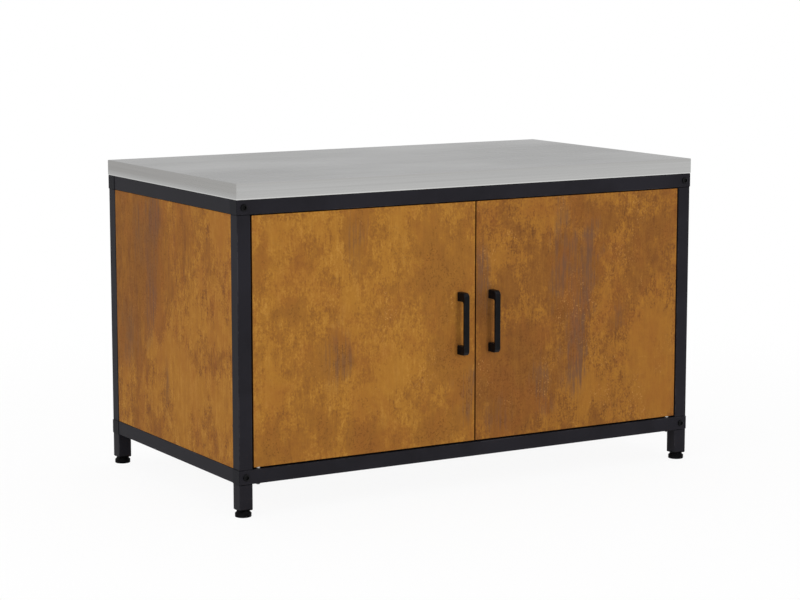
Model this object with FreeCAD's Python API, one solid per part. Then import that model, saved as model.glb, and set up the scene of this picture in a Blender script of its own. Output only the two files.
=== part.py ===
import FreeCAD, Part
import math
import os

from FreeCAD import Vector

os.makedirs("parts", exist_ok=True)

# Frame: square steel tube, front and back frames tied by four side rails
frame_width = 1130.0
frame_depth = 628.0
opening_height = 520.5
leg_length = 54.0
tube_side = 30.0
tube_wall = 1.5
tube_radius = 2.0
seam_ease = 0.8

# Plastic caps in the open ends of the front and back rails
cap_flange = 1.0
cap_plug_length = 8.0
cap_plug_wall = 2.0
cap_fit = 0.1

# Button-head bolts through the rail ends into plates in the side rails
bolt_radius = 4.0
bolt_head_radius = 7.0
bolt_head_height = 4.4
bolt_clearance = 0.4
bolt_tail = 3.0
nut_plate_thickness = 6.0
nut_plate_fit = 0.1
thread_fit = 0.05

# Levelling feet
pad_radius = 17.0
pad_edge_height = 8.5
pad_cone_height = 4.0
pad_neck_radius = 13.0
pad_edge_round = 1.2
foot_gap = 1.5
stud_radius = 5.0
stud_length = 38.0
insert_flange = 3.0
insert_flange_ease = 1.5
insert_length = 22.0
insert_fit = 0.1

# Worktop: folded steel tray over a board core
worktop_thickness = 33.5
worktop_overhang = 1.5
worktop_sheet = 1.2
worktop_lip = 56.0
worktop_edge_round = 1.8
core_fit = 0.3

# Boards: doors, side, back and bottom panels and shelf
board = 18.0
board_edge_round = 0.8
panel_recess = 1.0
panel_gap = 0.5

# Welded tabs and screws that hold the panels and the worktop
tab_length = 30.0
tab_reach = 20.0
tab_thickness = 2.5
tab_screw_place_share = 0.6
tab_row_shares = (0.16, 0.84)
tab_column_shares = (-0.3, 0.3)
panel_screw_radius = 2.0
panel_screw_head_radius = 4.0
panel_screw_head_height = 2.4
panel_screw_grip = 12.0

# Shelf on four pins, with spare pin holes
shelf_height_share = 0.5
shelf_setback = 45.0
shelf_end_gap = 1.5
pin_radius = 2.5
pin_depth = 10.0
pin_head_radius = 4.0
pin_head_reach = 9.0
pin_flat_share = 0.6
pin_inset = 50.0
pin_pitch = 32.0
pin_hole_count = 5

# Doors on pivot pins
door_recess = 1.0
door_side_gap = 3.5
door_centre_gap = 3.0
door_top_gap = 2.0
door_bottom_gap = 4.0
pivot_inset = 13.5
pivot_radius = 2.5
pivot_grip = 11.0
pivot_head_radius = 4.5
pivot_head_height = 3.5
pivot_access = 1.5
pivot_clearance = 0.05
bush_radius = 3.6
bush_length = 12.0
bush_flange_radius = 4.0
bush_run_gap = 0.2

# Bridge handles
handle_length = 134.0
handle_width = 13.0
handle_reach = 29.0
handle_bar = 6.5
handle_arm = 19.5
handle_outer_radius = 10.0
handle_inner_radius = 4.0
handle_edge_round = 1.8
handle_inset = 37.5
handle_screw_radius = 2.0
handle_screw_head_radius = 4.0
handle_screw_head_height = 2.6
handle_screw_grip = 12.0

# Magnetic catch and strike plates
strike_width = 22.0
strike_height = 16.0
strike_thickness = 1.5
strike_inset = 14.0
strike_drop = 2.0
strike_screw_head_radius = 3.0
strike_screw_radius = 1.5
strike_screw_grip = 11.0
catch_depth = 14.0
catch_height = 20.0
catch_end_wall = 7.0
catch_edge_round = 1.5
catch_gap = 0.4
magnet_width = 16.0
magnet_height = 8.0
magnet_depth = 6.0
catch_screw_radius = 1.5
catch_screw_head_radius = 3.0
catch_screw_head_height = 2.0
catch_screw_grip = 6.0
catch_screw_place_share = 0.3

# Shares and the overrun that serves all cuts
dome_share = 0.7
socket_width_share = 0.6
socket_depth_share = 0.6
overrun = 5.0

# Levels above the floor
leg_bottom = pad_edge_height + pad_cone_height + foot_gap
low_rail_bottom = leg_bottom + leg_length
low_rail_top = low_rail_bottom + tube_side
high_rail_bottom = low_rail_top + opening_height
high_rail_top = high_rail_bottom + tube_side
worktop_top = high_rail_top + worktop_thickness
door_bottom = low_rail_top + door_bottom_gap
door_top = high_rail_bottom - door_top_gap

# Plan positions: the origin is the middle of the outer box, on the floor
half_width = frame_width / 2
handle_out = handle_reach - door_recess
back_out = max(worktop_overhang, bolt_head_height)
front = (handle_out - frame_depth - back_out) / 2
back = front + frame_depth
mid_y = (front + back) / 2
post_x = half_width - tube_side / 2
inner_x = half_width - tube_side
inner_front = front + tube_side
inner_back = back - tube_side

# Door positions
door_outer_x = inner_x - door_side_gap
door_inner_x = door_centre_gap / 2
door_front = front + door_recess
door_back = door_front + board
pivot_x = door_outer_x - pivot_inset
pivot_y = door_front + board / 2
handle_x = door_inner_x + handle_inset
handle_z = (door_bottom + door_top) / 2
handle_hole_z = (handle_length - handle_arm) / 2
strike_x = door_inner_x + strike_inset
strike_z = door_top - strike_drop - strike_height / 2

# Inner faces of the inset panels
panel_inner = panel_recess + board
side_inner_x = half_width - panel_inner
back_inner_y = back - panel_inner
floor_under = low_rail_top - panel_inner

# Shelf position
shelf_bottom = low_rail_top + opening_height * shelf_height_share
shelf_front = front + shelf_setback
shelf_back = inner_back - shelf_end_gap
pin_axis_z = shelf_bottom - pin_head_radius * pin_flat_share

x_axis = Vector(1, 0, 0)
y_axis = Vector(0, 1, 0)
z_axis = Vector(0, 0, 1)


def save(name, *solids):
    shape = solids[0] if len(solids) == 1 else Part.makeCompound(list(solids))
    shape.exportStep("parts/" + name + ".step")


def block(low, high):
    size = high - low
    return Part.makeBox(size.x, size.y, size.z, low)


def rod(start, direction, radius, length):
    return Part.makeCylinder(radius, length, start, direction)


def bore(centre, direction, radius, depth):
    # A cutter that starts an overrun outside the face and stops at the depth
    return rod(centre - direction * overrun, direction, radius, depth + overrun)


def cross_axes(direction):
    if abs(direction.x) > abs(direction.y) and abs(direction.x) > abs(direction.z):
        return y_axis, z_axis
    if abs(direction.y) > abs(direction.z):
        return z_axis, x_axis
    return x_axis, y_axis


def rounded_face(centre, u, v, half_u, half_v, radius):
    # A rectangle about centre with one arc at each corner
    ways = [(u, half_u), (v, half_v), (u * -1, half_u), (v * -1, half_v)]
    edges = []
    ends = []
    for i in range(4):
        a, reach_a = ways[i]
        b, reach_b = ways[(i + 1) % 4]
        pivot = centre + a * (reach_a - radius) + b * (reach_b - radius)
        middle = pivot + (a + b) * (radius / math.sqrt(2))
        ends.append((pivot + a * radius, pivot + b * radius))
        edges.append(Part.Arc(pivot + a * radius, middle, pivot + b * radius).toShape())
    for i in range(4):
        edges.append(Part.LineSegment(ends[i][1], ends[(i + 1) % 4][0]).toShape())
    return Part.Face(Part.Wire(Part.__sortEdges__(edges)))


def rounded_bar(start, direction, length, side, radius):
    u, v = cross_axes(direction)
    return rounded_face(start, u, v, side / 2, side / 2, radius).extrude(direction * length)


def edges_at(shape, point, direction):
    # The edges that lie in the plane through point, square to direction
    picked = []
    for edge in shape.Edges:
        offsets = [abs((vertex.Point - point).dot(direction)) for vertex in edge.Vertexes]
        if max(offsets) < seam_ease / 10:
            picked.append(edge)
    return picked


def tube(start, end, eased_ends=()):
    # A square tube whose eased ends show as a fine line where they meet a rail
    length = (end - start).Length
    direction = (end - start) * (1 / length)
    outer = rounded_bar(start, direction, length, tube_side, tube_radius)
    for point in eased_ends:
        outer = outer.makeChamfer(seam_ease, edges_at(outer, point, direction))
    inner_side = tube_side - 2 * tube_wall
    inner_radius = tube_radius / 4
    hollow = rounded_bar(start - direction * overrun, direction, length + 2 * overrun,
                         inner_side, inner_radius)
    return outer.cut(hollow)


def screw(seat, direction, head_radius, head_height, shank_radius, shank_length):
    # A domed head with a six-sided socket on a plain shank
    top = seat - direction * head_height
    head = rod(top, direction, head_radius, head_height)
    head = head.makeFillet(head_height * dome_share, edges_at(head, top, direction))
    u, v = cross_axes(direction)
    across = head_radius * socket_width_share
    corners = []
    for i in range(7):
        angle = math.radians(60 * i)
        corners.append(top + (u * math.cos(angle) + v * math.sin(angle)) * across)
    socket = Part.Face(Part.makePolygon(corners)).extrude(direction * head_height * socket_depth_share)
    return head.cut(socket).fuse(rod(seat, direction, shank_radius, shank_length)).removeSplitter()


def cut_all(shape, cutters):
    return shape.cut(Part.makeCompound(cutters)) if cutters else shape


# Frame tubes, caps and bolts
def rail_bolt_seats():
    # Centre of each bolt head, the way it points in, for the eight frame corners
    seats = []
    for z in (low_rail_bottom, high_rail_bottom):
        for x in (-post_x, post_x):
            seats.append((Vector(x, front, z + tube_side / 2), y_axis))
            seats.append((Vector(x, back, z + tube_side / 2), y_axis * -1))
    return seats


def catch_screw_seats():
    # On the two ends of the catch, under the front top rail
    x = strike_x + magnet_width / 2 + catch_end_wall / 2
    y = door_back + strike_thickness + catch_gap + catch_depth * catch_screw_place_share
    return [Vector(side * x, y, high_rail_bottom - catch_height) for side in (-1, 1)]


def rail_holes():
    holes = []
    for seat, direction in rail_bolt_seats():
        holes.append(bore(seat, direction, bolt_radius + bolt_clearance, tube_side + overrun))
    for seat in catch_screw_seats():
        holes.append(bore(seat, z_axis, catch_screw_radius + thread_fit, catch_height + tube_wall + overrun))
    for x in (-pivot_x, pivot_x):
        low = Vector(x, pivot_y, low_rail_bottom)
        high = Vector(x, pivot_y, high_rail_bottom)
        holes.append(bore(low, z_axis, pivot_radius + thread_fit, tube_side + overrun))
        holes.append(bore(high, z_axis, pivot_radius + thread_fit, tube_wall + overrun))
        access = high + z_axis * tube_side
        holes.append(bore(access, z_axis * -1, pivot_head_radius + pivot_access, tube_wall + overrun))
    return holes


def build_rails():
    holes = rail_holes()
    for level, z in (("bottom", low_rail_bottom), ("top", high_rail_bottom)):
        mid_z = z + tube_side / 2
        for side, y in (("front", front + tube_side / 2), ("back", back - tube_side / 2)):
            rail = tube(Vector(-half_width, y, mid_z), Vector(half_width, y, mid_z))
            save(side + "_" + level + "_rail", cut_all(rail, holes))
        for side, x in (("left", -post_x), ("right", post_x)):
            ends = Vector(x, inner_front, mid_z), Vector(x, inner_back, mid_z)
            save(side + "_" + level + "_rail", cut_all(tube(ends[0], ends[1], ends), holes))


def corner_places():
    places = []
    for depth, y in (("front", front + tube_side / 2), ("back", back - tube_side / 2)):
        for side, x in (("left", -post_x), ("right", post_x)):
            places.append((depth + "_" + side, x, y))
    return places


def build_uprights():
    for name, x, y in corner_places():
        low = Vector(x, y, low_rail_top)
        high = Vector(x, y, high_rail_bottom)
        save(name + "_post", tube(low, high, (low, high)))
        leg_low = Vector(x, y, leg_bottom + insert_flange)
        leg_high = Vector(x, y, low_rail_bottom)
        save(name + "_leg", tube(leg_low, leg_high, (leg_high,)))


def end_cap(x_side, y, z):
    outward = x_axis * x_side
    mouth = Vector(x_side * half_width, y, z)
    flange = rounded_bar(mouth, outward, cap_flange, tube_side, tube_radius)
    flange = flange.makeFillet(cap_flange / 2, edges_at(flange, mouth + outward * cap_flange, outward))
    plug_side = tube_side - 2 * tube_wall - 2 * cap_fit
    plug = rounded_bar(mouth, outward * -1, cap_plug_length, plug_side, tube_radius / 2)
    hollow_side = plug_side - 2 * cap_plug_wall
    hollow = rounded_bar(mouth, outward * -1, cap_plug_length + overrun, hollow_side, tube_radius / 2)
    return flange.fuse(plug.cut(hollow)).removeSplitter()


def build_caps_and_bolts():
    caps = []
    for y in (front + tube_side / 2, back - tube_side / 2):
        for z in (low_rail_bottom, high_rail_bottom):
            caps += [end_cap(side, y, z + tube_side / 2) for side in (-1, 1)]
    save("rail_end_caps", *caps)

    bolts = []
    plates = []
    bolt_length = tube_side + nut_plate_thickness + bolt_tail
    plate_side = tube_side - 2 * tube_wall - 2 * nut_plate_fit
    for seat, direction in rail_bolt_seats():
        bolts.append(screw(seat, direction, bolt_head_radius, bolt_head_height, bolt_radius, bolt_length))
        face = seat + direction * tube_side
        plate = rounded_bar(face, direction, nut_plate_thickness, plate_side, tube_radius / 2)
        plates.append(plate.cut(bore(face, direction, bolt_radius + thread_fit, bolt_length)))
    save("frame_bolts", *bolts)
    save("side_rail_nut_plates", *plates)


# Levelling feet and the threaded inserts that they screw into
def leg_insert(x, y):
    base = Vector(x, y, leg_bottom)
    flange = rounded_bar(base, z_axis, insert_flange, tube_side, tube_radius)
    flange = flange.makeChamfer(insert_flange_ease, edges_at(flange, base, z_axis))
    plug_side = tube_side - 2 * tube_wall - 2 * insert_fit
    plug = rounded_bar(base + z_axis * insert_flange, z_axis, insert_length, plug_side, tube_radius / 2)
    thread = bore(base, z_axis, stud_radius + thread_fit, insert_flange + insert_length + overrun)
    return flange.fuse(plug).cut(thread).removeSplitter()


def foot_pad(x, y):
    # A disc with a rounded rim and a cone up to its neck
    base = Vector(x, y, 0)
    disc = rod(base, z_axis, pad_radius, pad_edge_height)
    disc = disc.makeFillet(pad_edge_round, disc.Edges[0:1] + disc.Edges[2:3])
    cone = Part.makeCone(pad_radius - pad_edge_round, pad_neck_radius, pad_cone_height,
                         base + z_axis * pad_edge_height)
    return disc.fuse(cone).removeSplitter()


def build_feet():
    save("leg_inserts", *[leg_insert(x, y) for name, x, y in corner_places()])
    for name, x, y in corner_places():
        save(name + "_foot_pad", foot_pad(x, y))
        start = Vector(x, y, pad_edge_height + pad_cone_height)
        save(name + "_foot_stud", rod(start, z_axis, stud_radius, stud_length))


# Worktop
def build_worktop():
    outer_x = half_width + worktop_overhang
    low = Vector(-outer_x, front - worktop_overhang, high_rail_top)
    high = Vector(outer_x, back + worktop_overhang, worktop_top)
    sheet = Vector(worktop_sheet, worktop_sheet, worktop_sheet)
    lip = Vector(worktop_lip, worktop_lip, 0)
    below = Vector(0, 0, worktop_sheet + overrun)
    slab = block(low, high)
    slab = slab.makeFillet(worktop_edge_round, slab.Edges)
    hollow = block(low + sheet, high - sheet)
    mouth = block(low + lip - below, Vector(high.x, high.y, low.z + worktop_sheet) - lip)

    fixings = [fixing_tab(root, out, along, z_axis * -1)
               for root, out, along in level_tab_roots(high_rail_top)]
    holes = [hole for plate, fixing, hole in fixings]
    inset = Vector(core_fit, core_fit, 0)
    save("worktop_skin", cut_all(slab.cut(hollow).cut(mouth), holes))
    save("worktop_core", cut_all(block(low + sheet + inset, high - sheet - inset), holes))
    save("worktop_tabs", *[plate for plate, fixing, hole in fixings])
    save("worktop_screws", *[fixing for plate, fixing, hole in fixings])


# Welded tabs with one screw each
def fixing_tab(root, out, along, normal):
    # A plate whose root edge is on a tube and whose flat lies on what it holds
    corner = root - along * (tab_length / 2)
    far = root + along * (tab_length / 2) + out * tab_reach + normal * tab_thickness
    low = Vector(min(corner.x, far.x), min(corner.y, far.y), min(corner.z, far.z))
    high = Vector(max(corner.x, far.x), max(corner.y, far.y), max(corner.z, far.z))
    seat = root + out * (tab_reach * tab_screw_place_share) + normal * tab_thickness
    hole = bore(seat, normal * -1, panel_screw_radius + thread_fit, tab_thickness + panel_screw_grip)
    fixing = screw(seat, normal * -1, panel_screw_head_radius, panel_screw_head_height,
                   panel_screw_radius, tab_thickness + panel_screw_grip)
    return block(low, high).cut(hole), fixing, hole


def upright_tab_rows():
    return [low_rail_top + opening_height * share for share in tab_row_shares]


def side_tab_roots(side):
    x = side * side_inner_x
    roots = []
    for z in upright_tab_rows():
        roots.append((Vector(x, inner_front, z), y_axis, z_axis))
        roots.append((Vector(x, inner_back, z), y_axis * -1, z_axis))
    return roots


def back_tab_roots():
    roots = []
    for z in upright_tab_rows():
        roots.append((Vector(-inner_x, back_inner_y, z), x_axis, z_axis))
        roots.append((Vector(inner_x, back_inner_y, z), x_axis * -1, z_axis))
    for share in tab_column_shares:
        x = frame_width * share
        roots.append((Vector(x, back_inner_y, low_rail_top), z_axis, x_axis))
        roots.append((Vector(x, back_inner_y, high_rail_bottom), z_axis * -1, x_axis))
    return roots


def level_tab_roots(z):
    # Two tabs on the inner face of each of the four rails of one level
    roots = []
    for share in tab_column_shares:
        x = frame_width * share
        y = mid_y + frame_depth * share
        roots.append((Vector(x, inner_front, z), y_axis, x_axis))
        roots.append((Vector(x, inner_back, z), y_axis * -1, x_axis))
        roots.append((Vector(-inner_x, y, z), x_axis, y_axis))
        roots.append((Vector(inner_x, y, z), x_axis * -1, y_axis))
    return roots


# Inset panels, held by tabs on the inside
def shelf_pin_places():
    # Pin axis on the inner face of a side panel, and the way into the panel
    places = []
    for side in (-1, 1):
        for y in (shelf_front + pin_inset, shelf_back - pin_inset):
            places.append((Vector(side * side_inner_x, y, pin_axis_z), x_axis * side))
    return places


def pin_holes():
    holes = []
    for point, into in shelf_pin_places():
        for i in range(pin_hole_count):
            rise = (i - (pin_hole_count - 1) / 2) * pin_pitch
            holes.append(bore(point + z_axis * rise, into, pin_radius + thread_fit, pin_depth))
    return holes


def rounded_board(low, high):
    panel = block(low, high)
    return panel.makeFillet(board_edge_round, panel.Edges)


def build_panels():
    outer_x = half_width - panel_recess
    wide_x = inner_x - panel_gap
    near_y = inner_front + panel_gap
    far_y = inner_back - panel_gap
    low_z = low_rail_top + panel_gap
    high_z = high_rail_bottom - panel_gap
    panels = [
        ("left_side_panel", Vector(-outer_x, near_y, low_z), Vector(-side_inner_x, far_y, high_z),
         side_tab_roots(-1), x_axis),
        ("right_side_panel", Vector(side_inner_x, near_y, low_z), Vector(outer_x, far_y, high_z),
         side_tab_roots(1), x_axis * -1),
        ("back_panel", Vector(-wide_x, back_inner_y, low_z), Vector(wide_x, back - panel_recess, high_z),
         back_tab_roots(), y_axis * -1),
        ("bottom_panel", Vector(-wide_x, near_y, floor_under),
         Vector(wide_x, far_y, low_rail_top - panel_recess), level_tab_roots(floor_under), z_axis * -1),
    ]
    tabs = {"side_panel_tabs": [], "back_panel_tabs": [], "bottom_panel_tabs": []}
    screws = []
    for name, low, high, roots, normal in panels:
        group = "side_panel_tabs" if "side" in name else name + "_tabs"
        cutters = pin_holes() if "side" in name else []
        for root, out, along in roots:
            tab, fixing, hole = fixing_tab(root, out, along, normal)
            tabs[group].append(tab)
            screws.append(fixing)
            cutters.append(hole)
        save(name, cut_all(rounded_board(low, high), cutters))
    for group, plates in tabs.items():
        save(group, *plates)
    save("panel_screws", *screws)


def build_shelf():
    end_x = side_inner_x - shelf_end_gap
    low = Vector(-end_x, shelf_front, shelf_bottom)
    high = Vector(end_x, shelf_back, shelf_bottom + board)
    save("shelf", rounded_board(low, high))

    pins = []
    for point, into in shelf_pin_places():
        head = rod(point, into * -1, pin_head_radius, pin_head_reach)
        top = point + Vector(0, 0, pin_head_radius * pin_flat_share)
        spread = Vector(pin_head_reach + overrun, pin_head_radius + overrun, 0)
        head = head.cut(block(top - spread, top + spread + z_axis * pin_head_radius))
        pins.append(head.fuse(rod(point, into, pin_radius, pin_depth)).removeSplitter())
    save("shelf_pins", *pins)


# Doors with pivots, handles and strike plates
def pivot_bush(x, edge_z, inward):
    # A sleeve let into the edge of a door, flush with it
    edge = Vector(x, pivot_y, edge_z)
    sleeve = rod(edge, inward, bush_radius, bush_length)
    return sleeve.cut(bore(edge, inward, pivot_radius + pivot_clearance, bush_length + overrun))


def bearing_bush(x):
    # The lower bush, whose flange in the gap under the door carries its weight
    edge = Vector(x, pivot_y, door_bottom)
    height = door_bottom_gap - bush_run_gap
    flange = rod(edge, z_axis * -1, bush_flange_radius, height)
    flange = flange.cut(bore(edge, z_axis * -1, pivot_radius + pivot_clearance, height + overrun))
    return pivot_bush(x, door_bottom, z_axis).fuse(flange).removeSplitter()


def build_pivot_pins():
    low_pins = []
    high_pins = []
    for x in (-pivot_x, pivot_x):
        seat = Vector(x, pivot_y, low_rail_bottom)
        low_pins.append(screw(seat, z_axis, pivot_head_radius, pivot_head_height, pivot_radius,
                              tube_side + door_bottom_gap + pivot_grip))
        drop_seat = Vector(x, pivot_y, high_rail_bottom + tube_wall)
        high_pins.append(screw(drop_seat, z_axis * -1, pivot_head_radius, pivot_head_height, pivot_radius,
                               tube_wall + door_top_gap + pivot_grip))
    save("lower_pivot_pins", *low_pins)
    save("upper_pivot_pins", *high_pins)


def handle_body(x):
    # A bridge: rounded outer corners, two arms and a bar, drawn in its side view
    left = Vector(x - handle_width / 2, door_front, handle_z)
    outward = y_axis * -1
    half = handle_length / 2
    outer = rounded_face(left, outward, z_axis, handle_reach, half, handle_outer_radius)
    finger_gap = rounded_face(left, outward, z_axis, handle_reach - handle_bar, half - handle_arm,
                              handle_inner_radius)
    bridge = outer.cut(finger_gap).extrude(x_axis * handle_width)
    behind = Vector(0, handle_reach + overrun, 0)
    spread = Vector(overrun, 0, half + overrun)
    door_side = block(left - spread, left + spread + behind + x_axis * handle_width)
    bridge = bridge.cut(door_side)
    flanks = edges_at(bridge, left, x_axis) + edges_at(bridge, left + x_axis * handle_width, x_axis)
    on_door = edges_at(bridge, left, y_axis)
    long_edges = [edge for edge in flanks if not any(edge.isSame(other) for other in on_door)]
    return bridge.makeFillet(handle_edge_round, long_edges)


def handle_screw_seats(x):
    return [Vector(x, door_back, handle_z + rise) for rise in (-handle_hole_z, handle_hole_z)]


def strike_plate(x):
    # A plate with one countersunk hole on the inner face of a door
    half = Vector(strike_width / 2, 0, strike_height / 2)
    seat = Vector(x, door_back, strike_z)
    plate = block(seat - half, seat + half + y_axis * strike_thickness)
    return plate.cut(strike_screw(x))


def strike_screw(x):
    seat = Vector(x, door_back, strike_z)
    head = Part.makeCone(strike_screw_radius, strike_screw_head_radius, strike_thickness, seat, y_axis)
    return head.fuse(rod(seat, y_axis * -1, strike_screw_radius, strike_screw_grip)).removeSplitter()


def build_door(name, side):
    low_x = min(side * door_inner_x, side * door_outer_x)
    high_x = max(side * door_inner_x, side * door_outer_x)
    door = rounded_board(Vector(low_x, door_front, door_bottom), Vector(high_x, door_back, door_top))
    x = side * handle_x
    cutters = []
    for edge_z, inward in ((door_bottom, z_axis), (door_top, z_axis * -1)):
        edge = Vector(side * pivot_x, pivot_y, edge_z)
        cutters.append(bore(edge, inward, bush_radius, bush_length))
    for seat in handle_screw_seats(x):
        cutters.append(bore(seat, y_axis * -1, handle_screw_radius + thread_fit, board + overrun))
    cutters.append(strike_screw(side * strike_x))
    save(name + "_door_panel", cut_all(door, cutters))

    save(name + "_pivot_bushes",
         bearing_bush(side * pivot_x),
         pivot_bush(side * pivot_x, door_top, z_axis * -1))

    length = board + handle_screw_grip
    threads = [bore(seat, y_axis * -1, handle_screw_radius + thread_fit, length)
               for seat in handle_screw_seats(x)]
    save(name + "_handle", cut_all(handle_body(x), threads))
    save(name + "_handle_screws", *[screw(seat, y_axis * -1, handle_screw_head_radius,
                                          handle_screw_head_height, handle_screw_radius, length)
                                    for seat in handle_screw_seats(x)])
    save(name + "_strike_plate", strike_plate(side * strike_x))
    save(name + "_strike_screw", strike_screw(side * strike_x))


def build_catch():
    half_x = strike_x + magnet_width / 2 + catch_end_wall
    face_y = door_back + strike_thickness + catch_gap
    low = Vector(-half_x, face_y, high_rail_bottom - catch_height)
    high = Vector(half_x, face_y + catch_depth, high_rail_bottom)
    body = block(low, high)
    under = edges_at(body, low, z_axis)
    body = body.makeFillet(catch_edge_round, under)

    magnets = []
    for side in (-1, 1):
        corner = Vector(side * strike_x - magnet_width / 2, face_y, strike_z - magnet_height / 2)
        magnets.append(Part.makeBox(magnet_width, magnet_depth, magnet_height, corner))
    screws = []
    holes = []
    length = catch_height + tube_wall + catch_screw_grip
    for seat in catch_screw_seats():
        screws.append(screw(seat, z_axis, catch_screw_head_radius, catch_screw_head_height,
                            catch_screw_radius, length))
        holes.append(bore(seat, z_axis, catch_screw_radius + thread_fit, length))
    save("catch_housing", cut_all(body, magnets + holes))
    save("catch_magnets", *magnets)
    save("catch_screws", *screws)


build_rails()
build_uprights()
build_caps_and_bolts()
build_feet()
build_worktop()
build_panels()
build_shelf()
build_pivot_pins()
build_door("left", -1)
build_door("right", 1)
build_catch()
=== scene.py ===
import math
import bpy
import numpy as np
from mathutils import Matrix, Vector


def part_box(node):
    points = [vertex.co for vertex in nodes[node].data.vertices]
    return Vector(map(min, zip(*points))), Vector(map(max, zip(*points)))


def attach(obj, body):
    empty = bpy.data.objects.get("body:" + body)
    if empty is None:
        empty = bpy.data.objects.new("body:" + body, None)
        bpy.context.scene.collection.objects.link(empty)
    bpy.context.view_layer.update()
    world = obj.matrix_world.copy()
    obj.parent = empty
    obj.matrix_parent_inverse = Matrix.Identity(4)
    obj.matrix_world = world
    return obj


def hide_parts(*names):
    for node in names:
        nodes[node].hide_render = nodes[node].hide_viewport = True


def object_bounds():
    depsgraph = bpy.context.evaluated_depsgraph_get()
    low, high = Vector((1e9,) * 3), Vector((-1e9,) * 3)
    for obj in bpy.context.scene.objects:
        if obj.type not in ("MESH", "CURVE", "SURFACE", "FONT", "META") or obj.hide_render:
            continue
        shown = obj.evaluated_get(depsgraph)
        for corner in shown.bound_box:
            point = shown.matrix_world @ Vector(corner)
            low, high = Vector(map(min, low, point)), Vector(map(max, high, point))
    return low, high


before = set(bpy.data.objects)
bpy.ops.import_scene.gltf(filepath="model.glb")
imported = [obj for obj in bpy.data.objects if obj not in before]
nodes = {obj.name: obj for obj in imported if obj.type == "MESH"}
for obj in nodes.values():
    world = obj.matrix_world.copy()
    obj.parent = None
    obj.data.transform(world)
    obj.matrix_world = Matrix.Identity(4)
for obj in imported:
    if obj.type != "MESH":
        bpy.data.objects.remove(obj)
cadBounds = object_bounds()
print("frame loaded:", len(nodes), "CAD nodes")

mm = 0.001
mostNoise = (0.3, 0.7)                                     # nearly all of a noise's values lie between these
white = (1, 1, 1, 1)


# Shader wiring: a socket that takes arithmetic, and one way to add every other node
class Wire:
    def __init__(self, wiring, socket):
        self.wiring = wiring
        self.socket = socket

    def maths(self, operation, first, second):
        return self.wiring.node("ShaderNodeMath", {"operation": operation}, {0: first, 1: second})

    def __add__(self, other):
        return self.maths("ADD", self, other)

    def __radd__(self, other):
        return self.maths("ADD", other, self)

    def __sub__(self, other):
        return self.maths("SUBTRACT", self, other)

    def __rsub__(self, other):
        return self.maths("SUBTRACT", other, self)

    def __mul__(self, other):
        return self.maths("MULTIPLY", self, other)

    def __rmul__(self, other):
        return self.maths("MULTIPLY", other, self)


class Wiring:
    def __init__(self, tree):
        self.tree = tree
        self.tree.nodes.clear()

    def node(self, kind, settings=None, inputs=None, output=0):
        made = self.tree.nodes.new(kind)
        for name, value in (settings or {}).items():
            if name == "stops":
                fillRamp(made.color_ramp, value)
            else:
                setattr(made, name, value)
        for key, value in (inputs or {}).items():
            if isinstance(value, Wire):
                self.tree.links.new(value.socket, made.inputs[key])
            else:
                made.inputs[key].default_value = value
        return Wire(self, made.outputs[output]) if len(made.outputs) else None

    def place(self):                                       # object coordinates, in metres
        return self.node("ShaderNodeTexCoord", output="Object")

    def stretched(self, vector, scale, shift=(0, 0, 0)):
        return self.node("ShaderNodeMapping", None, {
            "Vector": vector, "Scale": scale, "Location": shift})

    def shifted(self, vector, shift):                      # so that one noise doesn't follow another
        return self.stretched(vector, (1, 1, 1), shift)

    def noise(self, vector, scale, detail=2.0, roughness=0.5, distortion=0.0):
        return self.node("ShaderNodeTexNoise", None, {
            "Vector": vector, "Scale": scale, "Detail": detail,
            "Roughness": roughness, "Distortion": distortion})

    def eased(self, value, low, high, outLow=0.0, outHigh=1.0):   # smooth step between low and high
        return self.node("ShaderNodeMapRange", {"interpolation_type": "SMOOTHSTEP"}, {
            "Value": value, "From Min": low, "From Max": high, "To Min": outLow, "To Max": outHigh})

    def blended(self, factor, first, second):              # two colours
        return self.node("ShaderNodeMix", {"data_type": "RGBA"}, {0: factor, 6: first, 7: second}, 2)

    def ramp(self, value, stops):
        return self.node("ShaderNodeValToRGB", {"stops": stops}, {0: value})

    def facing(self, axis):                                # 1 where a surface is square to an axis, else less
        normal = self.node("ShaderNodeTexCoord", output="Normal")
        share = self.node("ShaderNodeSeparateXYZ", None, {0: normal}, axis)
        return self.node("ShaderNodeMath", {"operation": "ABSOLUTE"}, {0: share})

    def larger(self, first, second):
        return self.node("ShaderNodeMath", {"operation": "MAXIMUM"}, {0: first, 1: second})

    def edges(self):                                       # 1 on rounded edges, 0 on faces square to the axes
        squarest = self.larger(self.larger(self.facing(0), self.facing(1)), self.facing(2))
        return self.eased(squarest, 0.99, 0.9)

    def relief(self, height, depth):                       # bump whose full height is depth metres
        return self.node("ShaderNodeBump", None, {"Height": height, "Distance": depth, "Strength": 1.0})


def fillRamp(ramp, stops):
    while len(ramp.elements) < len(stops):
        ramp.elements.new(1.0)
    for element, (position, colour) in zip(ramp.elements, stops):
        element.position = position
        element.color = colour


def paint(red, green, blue):                               # screen values, 0 to 255, as a linear colour
    share = np.array([red, green, blue]) / 255.0
    linear = np.where(share <= 0.04045, share / 12.92, ((share + 0.055) / 1.055) ** 2.4)
    return (*linear.tolist(), 1.0)


def paints(*colours):
    return [paint(*colour) for colour in colours]


def newMaterial(name):
    material = bpy.data.materials.new(name)
    material.use_nodes = True
    return material, Wiring(material.node_tree)


def coat(w, inputs):                                       # closes a material with a Principled shader
    shader = w.node("ShaderNodeBsdfPrincipled", None, inputs)
    w.node("ShaderNodeOutputMaterial", None, {"Surface": shader})


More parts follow.
